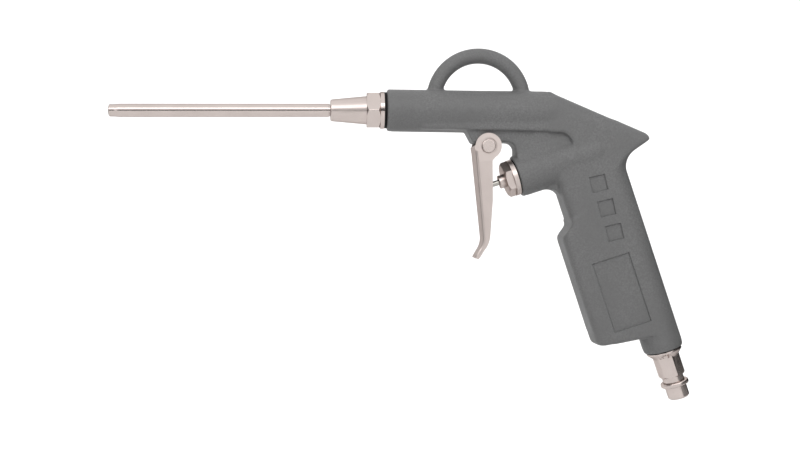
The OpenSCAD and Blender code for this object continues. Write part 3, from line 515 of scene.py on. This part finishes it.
def new_object(bm, name):
    """Links an object with this mesh, at the origin."""
    mesh = bpy.data.meshes.new(name)
    bm.to_mesh(mesh)
    bm.free()
    obj = bpy.data.objects.new(name, mesh)
    bpy.context.scene.collection.objects.link(obj)
    return obj


def evaluated(obj):
    """Replaces an object's mesh by what its modifiers make of it."""
    graph = bpy.context.evaluated_depsgraph_get()
    mesh = bpy.data.meshes.new_from_object(obj.evaluated_get(graph))
    obj.modifiers.clear()
    obj.data = mesh


def cut(obj, cutter):
    """Takes one object out of another."""
    step = obj.modifiers.new("cut", "BOOLEAN")
    step.operation = "DIFFERENCE"
    step.solver = "MANIFOLD"
    step.object = cutter
    evaluated(obj)
    bpy.data.objects.remove(cutter)


def smooth(obj, crease=None):
    """Shades faces smooth, with creases where they meet at more than these degrees."""
    for face in obj.data.polygons:
        face.use_smooth = True
    if crease is not None:
        obj.data.set_sharp_from_angle(angle=math.radians(crease))


def shade(obj, crease):
    """Shades faces smooth, and lets large faces keep their own normals."""
    smooth(obj, crease)
    # So flat metal reflects as a flat mirror does
    level = obj.modifiers.new("level", "WEIGHTED_NORMAL")
    level.keep_sharp = True


def show(obj, material, body, slot, *nodes):
    """Gives a piece its finish and its place in the frame."""
    obj.data.materials.clear()
    obj.data.materials.append(material)
    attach(obj, body)
    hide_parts(*nodes)


def piece(bm, name, material, body, slot, node, crease=CREASE):
    """A finished piece of this mesh that stands for one part."""
    obj = new_object(bm, name)
    shade(obj, crease)
    show(obj, material, body, slot, node)
    return obj


class DUSTER_OT_cast_body(bpy.types.Operator):
    """Cast body: barrel, hang loop, lug, valve housing and grip, with blended edges"""

    bl_idname = "duster.cast_body"
    bl_label = "Cast body"

    def execute(self, context):
        casting = context.scene.duster_casting
        bm = merged("body_casting")
        # The bores' mouths and the recesses are cut again after the edges are blended
        self.close(bm)
        self.fill(bm)
        body = new_object(bm, "cast_body")
        net = body.modifiers.new("net", "REMESH")
        net.mode = "VOXEL"
        net.voxel_size = casting.net
        evaluated(body)
        self.blend(body, casting)
        for place, radius, start, end in BORES:
            bore = bmesh.new()
            drum(bore, place, radius * MM, start * MM, end * MM)
            cut(body, new_object(bore, "cutter"))
        cut(body, new_object(self.recesses(), "cutter"))
        shade(body, BODY_CREASE)
        show(body, powder_coat(casting), "gun", "cast_body", "body_casting")
        return {"FINISHED"}

    def at_mark(self, down, deep, turn, across):
        """The middle of a recess, at a distance across the grip."""
        return (
            AT_VALVE
            @ Matrix.Translation((down, across, deep))
            @ Matrix.Rotation(math.radians(turn), 4, "Y")
        )

    def close(self, bm):
        """Closes the mouths of the bores and the recesses."""
        for place, radius, start, end in STOPPERS:
            drum(bm, place, radius * MM, start * MM, end * MM)
        for side in (-1, 1):
            for down, deep, height, width, turn in MARKS:
                across = side * (GRIP_HALF_WIDTH - STOPPER_DEPTH / 2)
                size = (height + MARK_MARGIN, STOPPER_DEPTH, width + MARK_MARGIN)
                box(bm, self.at_mark(down, deep, turn, across), size)

    def fill(self, bm):
        """Adds the flat lower sides of the barrel, and closes the groove over the housing."""
        corners = box(bm, Matrix.Translation(FLATS_MIDDLE), FLATS_SIZE)
        ahead = [v for v in corners if v.co.x < FLATS_MIDDLE[0]]
        low = [v for v in ahead if v.co.z < FLATS_MIDDLE[2]]
        bmesh.ops.scale(bm, verts=ahead, vec=(1, FLATS_AHEAD_SHARE, 1))
        bmesh.ops.translate(bm, verts=low, vec=(0, 0, FLATS_AHEAD_RISE))
        box(bm, AT_VALVE @ Matrix.Translation(WEB_FOOT_MIDDLE), WEB_FOOT_SIZE)

    def blend(self, body, casting):
        """Coats the cast surface and smooths it, most of all between barrel and tail."""
        bm = bmesh.new()
        bm.from_mesh(body.data)
        to_valve = AT_VALVE.inverted()
        to_inlet = AT_INLET.inverted()
        loose, loop, shoulder, foot = [], [], [], []
        for vert in bm.verts:
            x, _, z = vert.co
            down, across, deep = to_valve @ vert.co
            barrel_face = x < BARREL_FACE_X + BARREL_FACE_DEPTH
            housing_mouth = (
                deep < HOUSING_MOUTH_DEPTH and math.hypot(down, across) < HOUSING_MOUTH_RADIUS
            )
            socket_end = (to_inlet @ vert.co).z > -SOCKET_END_DEPTH
            if barrel_face or housing_mouth or socket_end:
                continue
            if x < LOOP_BACK_X and z > LOOP_FOOT_Z:
                loop.append(vert)
            else:
                loose.append(vert)
            if between(x, *SHOULDER_X) and between(z, *SHOULDER_Z):
                shoulder.append(vert)
            if between(down, *FOOT_DOWN) and between(deep, *FOOT_DEPTH):
                foot.append(vert)
        bm.normal_update()
        for vert in loose:
            vert.co += vert.normal * casting.coat
        for group, passes in (
            (shoulder, casting.shoulder_passes),
            (foot, FOOT_SHARE * casting.blend_passes),
            (loop, LOOP_PASSES),
            (loose, casting.blend_passes),
        ):
            for _ in range(passes):
                bmesh.ops.smooth_vert(
                    bm, verts=group, factor=0.5, use_axis_x=True, use_axis_y=True, use_axis_z=True
                )
        bm.to_mesh(body.data)
        bm.free()

    def recesses(self):
        """Cutters for the recesses on both sides of the grip, narrower at their floors."""
        bm = bmesh.new()
        for side in (-1, 1):
            for down, deep, height, width, turn in MARKS:
                place = self.at_mark(down, deep, turn, side * GRIP_HALF_WIDTH)
                high, wide = height + MARK_MARGIN, width + MARK_MARGIN
                corners = box(bm, place, (high, 2 * MARK_DEPTH, wide))
                floor = [v for v in corners if (place.inverted() @ v.co).y * side < 0]
                bmesh.ops.scale(
                    bm, verts=floor, space=place.inverted(),
                    vec=(1 - 2 * MARK_SLOPE / high, 1, 1 - 2 * MARK_SLOPE / wide),
                )
        return bm


class DUSTER_OT_nozzle(bpy.types.Operator):
    """Nozzle tube, its adapter and the ring between adapter and barrel"""

    bl_idname = "duster.nozzle"
    bl_label = "Nozzle"

    def execute(self, context):
        edge = context.scene.duster_metal.edge_radius
        piece(
            worked("nozzle_tube", edge), "nozzle_tube_piece",
            nickel_plate("bright_nickel_tube", (0, 0, 0), 0, gloss=0.1),
            "gun", "nickel", "nozzle_tube",
        )
        adapter = piece(
            worked("nozzle_adapter", edge, self.corners), "nozzle_adapter_piece",
            nickel_plate("bright_nickel_adapter", ADAPTER_MIDDLE, 0, gloss=0.1),
            "gun", "nickel", "nozzle_adapter",
        )
        # The cone is left duller than the hexagon
        cone_nickel = nickel_plate("turned_nickel_cone", ADAPTER_MIDDLE, 0, gloss=0.3)
        adapter.data.materials.append(cone_nickel)
        for face in adapter.data.polygons:
            if face.center.x < HEXAGON_X:
                face.material_index = 1
        piece(
            worked("nozzle_ring", RING_EDGE), "nozzle_ring_piece", black_rubber(),
            "gun", "rubber", "nozzle_ring",
        )
        return {"FINISHED"}

    def corners(self, bm):
        """Picks the long corners of the hexagon, which lie along X."""
        edges = [
            e for e in convex_edges(bm, *HEXAGON_ANGLES)
            if e.calc_length() > CORNER_LENGTH
            and abs((e.verts[1].co - e.verts[0].co).normalized().x) > 0.999
        ]
        return edges, CORNER_WIDTH, EDGE_STEPS


class DUSTER_OT_trigger(bpy.types.Operator):
    """Trigger folded from one sheet, and its headed pin"""

    bl_idname = "duster.trigger"
    bl_label = "Trigger"

    def execute(self, context):
        metal = context.scene.duster_metal

        def folds(bm):
            return self.folds(bm), metal.bend_radius, FOLD_STEPS

        piece(
            worked("trigger_lever", metal.edge_radius, folds), "trigger_piece",
            nickel_plate("satin_nickel", TRIGGER_PIN, TRIGGER_LEAN, gloss=0.3, rings=False),
            "trigger", "nickel", "trigger_lever", crease=LEVER_CREASE,
        )
        piece(
            worked("trigger_pin", metal.edge_radius), "trigger_pin_piece",
            nickel_plate("pin_nickel", TRIGGER_PIN, TRIGGER_LEAN, gloss=0.2, rings=False),
            "gun", "nickel", "trigger_pin",
        )
        return {"FINISHED"}

    def folds(self, bm):
        """Picks the outer edges between the front plate and the side plates."""
        turn = AT_TRIGGER.to_3x3()
        forward = turn @ Vector((-1, 0, 0))
        to_trigger = AT_TRIGGER.inverted()
        # A cut across the plates ends the folds under the ears
        bmesh.ops.bisect_plane(
            bm, geom=[*bm.verts, *bm.edges, *bm.faces], dist=0.001 * MM,
            plane_co=AT_TRIGGER @ Vector((0, 0, FOLDS_START_Z)),
            plane_no=turn @ Vector((0, 0, 1)),
        )
        edges = []
        for edge in convex_edges(bm, FOLD_ANGLE):
            ends = [to_trigger @ v.co for v in edge.verts]
            if any(v.z > FOLDS_TOP_Z or v.x > FRONT_FACE_X and v.z > FRONT_LOW_Z for v in ends):
                continue
            normals = [f.normal for f in edge.link_faces]
            across = [abs(n.y) > 0.8 for n in normals]
            front = [n.dot(forward) > 0.3 for n in normals]
            if any(across) and any(f and not a for f, a in zip(front, across)):
                edges.append(edge)
        return edges


class DUSTER_OT_fittings(bpy.types.Operator):
    """Valve cap with its ring and stem guide, and the inlet plug"""

    bl_idname = "duster.fittings"
    bl_label = "Valve cap and inlet plug"

    def execute(self, context):
        edge = context.scene.duster_metal.edge_radius
        cap_nickel = nickel_plate("dull_nickel_cap", VALVE_MOUTH, GRIP_LEAN, gloss=0.32)
        plug_nickel = nickel_plate(
            "bright_nickel_plug", AT_INLET.translation, GRIP_LEAN - 90, gloss=0.18
        )
        for node, finish in (
            ("valve_cap", cap_nickel), ("stem_guide", cap_nickel), ("inlet_plug", plug_nickel)
        ):
            piece(worked(node, edge), node + "_piece", finish, "gun", "nickel", node)
        piece(
            worked("valve_cap_ring", CAP_RING_EDGE), "valve_cap_ring_piece", black_rubber(),
            "gun", "rubber", "valve_cap_ring",
        )
        return {"FINISHED"}


class DUSTER_OT_valve_parts(bpy.types.Operator):
    """Finishes of the parts inside the valve and of the hidden seals, and the coil spring"""

    bl_idname = "duster.valve_parts"
    bl_label = "Valve parts"

    def execute(self, context):
        spring_steel = bare_metal("spring_steel", "#9a9894", "#7d7b77", gloss=0.25)
        for finish, nodes in (
            (
                black_rubber(),
                ("stem_ring_seal", "skirt_ring_seal", "poppet_seal", "inlet_ring_seal"),
            ),
            (
                bare_metal("turned_brass", "#c9a85c", "#a98747", gloss=0.22),
                ("valve_seat", "poppet_washer", "spring_foot"),
            ),
            (bare_metal("bright_steel", "#c4c1bb", "#a5a29c", gloss=0.18), ("valve_stem",)),
            (spring_steel, ("stem_clip",)),
            (white_plastic(), ("gland_washer",)),
        ):
            for name in nodes:
                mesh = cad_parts[name].data
                mesh.materials.clear()
                mesh.materials.append(finish)
        self.spring(spring_steel)
        return {"FINISHED"}

    def spring(self, finish):
        """The coil spring, which shortens as the stem goes in."""
        spring = new_object(merged("valve_spring"), "valve_spring_piece")
        smooth(spring, SPRING_CREASE)
        show(spring, finish, "gun", "steel", "valve_spring")
        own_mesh(spring)


def area_light(name, place, aim, width, height, power):
    """A soft light at a place, facing the point it aims at."""
    data = bpy.data.lights.new(name, "AREA")
    data.shape = "RECTANGLE"
    data.size = width
    data.size_y = height
    data.energy = power
    obj = bpy.data.objects.new(name, data)
    obj.location = place
    obj.rotation_euler = (Vector(aim) - Vector(place)).to_track_quat("-Z", "Y").to_euler()
    bpy.context.scene.collection.objects.link(obj)


def card(name, low, high, material):
    """A flat card between two corners that share one coordinate."""
    low, high = Vector(low), Vector(high)
    bm = bmesh.new()
    size = [max(s, CARD_THICKNESS) for s in high - low]
    box(bm, Matrix.Translation((low + high) / 2), size)
    obj = new_object(bm, name)
    obj.data.materials.append(material)
    # Cards show in the finish of the object, not in the picture
    obj.visible_camera = False


class DUSTER_OT_stage(bpy.types.Operator):
    """Pale floor that curves up into the backdrop, soft lights, reflected cards and the camera"""

    bl_idname = "duster.stage"
    bl_label = "Stage"

    def execute(self, context):
        context.scene.view_settings.view_transform = "Standard"
        self.sweep()
        self.lights(context)
        self.cards()
        self.camera(context)
        return {"FINISHED"}

    def sweep(self):
        """The floor, the backdrop, and the curve between them."""
        bm = bmesh.new()
        bmesh.ops.create_grid(
            bm, x_segments=1, y_segments=1, size=1,
            matrix=Matrix.Translation(FLOOR_MIDDLE) @ Matrix.Diagonal((*FLOOR_HALF_SIZE, 1, 1)),
        )
        back = [e for e in bm.edges if all(v.co.y > 0 for v in e.verts)]
        raised = bmesh.ops.extrude_edge_only(bm, edges=back)["geom"]
        top = [g for g in raised if isinstance(g, bmesh.types.BMVert)]
        bmesh.ops.translate(bm, verts=top, vec=(0, 0, BACKDROP_HEIGHT))
        fold = [e for e in bm.edges if len(e.link_faces) == 2]
        bevel(bm, fold, SWEEP_RADIUS, SWEEP_STEPS)
        obj = new_object(bm, "studio_sweep")
        smooth(obj)
        obj.data.materials.append(studio_paper("white_studio_paper", "#f4f4f4", roughness=0.8))

    def lights(self, context):
        """White surroundings, a strip over the camera and a light on the backdrop."""
        stage = context.scene.duster_stage
        world = bpy.data.worlds.new("studio")
        world.use_nodes = True
        background = world.node_tree.nodes["Background"].inputs
        background["Color"].default_value = colour("#ffffff")
        background["Strength"].default_value = stage.sky
        context.scene.world = world
        # The strip draws the bright line along the plating and the sheen along the barrel
        area_light(
            "strip", place=(0.1, -0.62, 0.33), aim=OBJECT_MIDDLE, width=1.6, height=0.22,
            power=stage.strip_power,
        )
        area_light(
            "backdrop_light", place=(0.2, 0.75, 0.8), aim=(0.2, 1.75, -0.05), width=1.8,
            height=0.3, power=stage.backdrop_power,
        )

    def cards(self):
        """Cards beside the object and the camera, each between two corners."""
        black = studio_paper("black_card_paper", "#0a0a0a")
        # Black cards on the right darken what faces right, coat and plating alike
        card("right_card", (0.6, -0.5, -0.09), (0.6, 0.5, 0.2), black)
        card("back_card", (0.6, 0.15, -0.28), (0.6, 0.5, -0.09), black)
        # Lower down a grey card keeps the plug's right side lighter
        grey = studio_paper("grey_paper", "#969696")
        card("low_card", (0.6, -0.5, -0.28), (0.6, 0.15, -0.09), grey)
        # The camera's own dark shape, which the plating shows as a thin dark line
        dark = studio_paper("dark_paper", "#484848")
        card("camera_card", (-0.2, -0.64, -0.12), (0.21, -0.64, 0.07), dark)
        # A grey card on the left holds back the light on what faces left
        pale = studio_paper("pale_grey_paper", "#a0a0a0")
        card("left_card", (-0.5, -0.6, -0.28), (-0.5, 0.5, 0.3), pale)

    def camera(self, context):
        """The photograph's camera, level and square to the object."""
        data = bpy.data.cameras.new("camera")
        data.sensor_width = CAMERA_FILM
        data.lens = CAMERA_LENS
        data.shift_x = CAMERA_SHIFT
        data.clip_start = CAMERA_NEAR
        obj = bpy.data.objects.new("camera", data)
        obj.location = CAMERA_PLACE
        obj.rotation_euler = (math.radians(90), 0, 0)
        context.scene.collection.objects.link(obj)
        context.scene.camera = obj


class DUSTER_PT_panel(bpy.types.Panel):
    """Lists the steps that build the duster"""

    bl_idname = "DUSTER_PT_panel"
    bl_label = "Compressed-air duster"
    bl_space_type = "VIEW_3D"
    bl_region_type = "UI"
    bl_category = "Duster"

    def draw(self, context):
        scene = context.scene
        for group in (scene.duster_casting, scene.duster_metal, scene.duster_stage):
            for name in group.__annotations__:
                self.layout.prop(group, name)
        for step in STEPS:
            self.layout.operator(step.bl_idname)


STEPS = (
    DUSTER_OT_cast_body,
    DUSTER_OT_nozzle,
    DUSTER_OT_trigger,
    DUSTER_OT_fittings,
    DUSTER_OT_valve_parts,
    DUSTER_OT_stage,
)
CLASSES = (DusterCasting, DusterMetal, DusterStage, *STEPS, DUSTER_PT_panel)


def register():
    """Registers the classes and their settings."""
    for cls in CLASSES:
        bpy.utils.register_class(cls)
    bpy.types.Scene.duster_casting = PointerProperty(type=DusterCasting)
    bpy.types.Scene.duster_metal = PointerProperty(type=DusterMetal)
    bpy.types.Scene.duster_stage = PointerProperty(type=DusterStage)


def unregister():
    """Takes the settings and the classes away again."""
    del bpy.types.Scene.duster_stage
    del bpy.types.Scene.duster_metal
    del bpy.types.Scene.duster_casting
    for cls in reversed(CLASSES):
        bpy.utils.unregister_class(cls)


def main():
    """Builds every piece and the stage."""
    register()
    bpy.ops.duster.cast_body()
    bpy.ops.duster.nozzle()
    bpy.ops.duster.trigger()
    bpy.ops.duster.fittings()
    bpy.ops.duster.valve_parts()
    bpy.ops.duster.stage()


if __name__ == "__main__":
    main()
